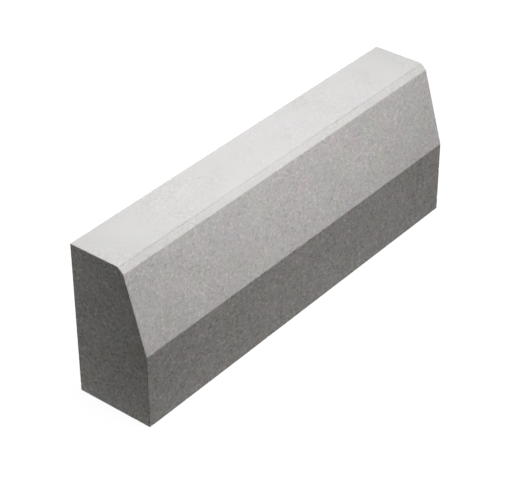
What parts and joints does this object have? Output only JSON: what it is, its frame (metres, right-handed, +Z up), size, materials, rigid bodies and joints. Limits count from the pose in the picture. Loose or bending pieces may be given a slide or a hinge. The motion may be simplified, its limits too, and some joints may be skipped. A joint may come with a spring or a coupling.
{
  "type": "concrete kerb stone",
  "caption": "Straight cast concrete kerb stone with an upright foot, a battered road face, a small chamfer and a flat top, laid end to end along a road edge.",
  "frame": {"origin": "middle of the bed, the flat underside that the stone is laid on", "axes": "+X along the kerb, -Y towards the road, +Y towards the footway, +Z up"},
  "size_m": [0.8, 0.15, 0.29],
  "materials": {
    "concrete": "as-cast pressed concrete, fine open grain, matt"
  },
  "bodies": {
    "root": {"kerb_stone": "concrete"}
  },
  "joints": []
}
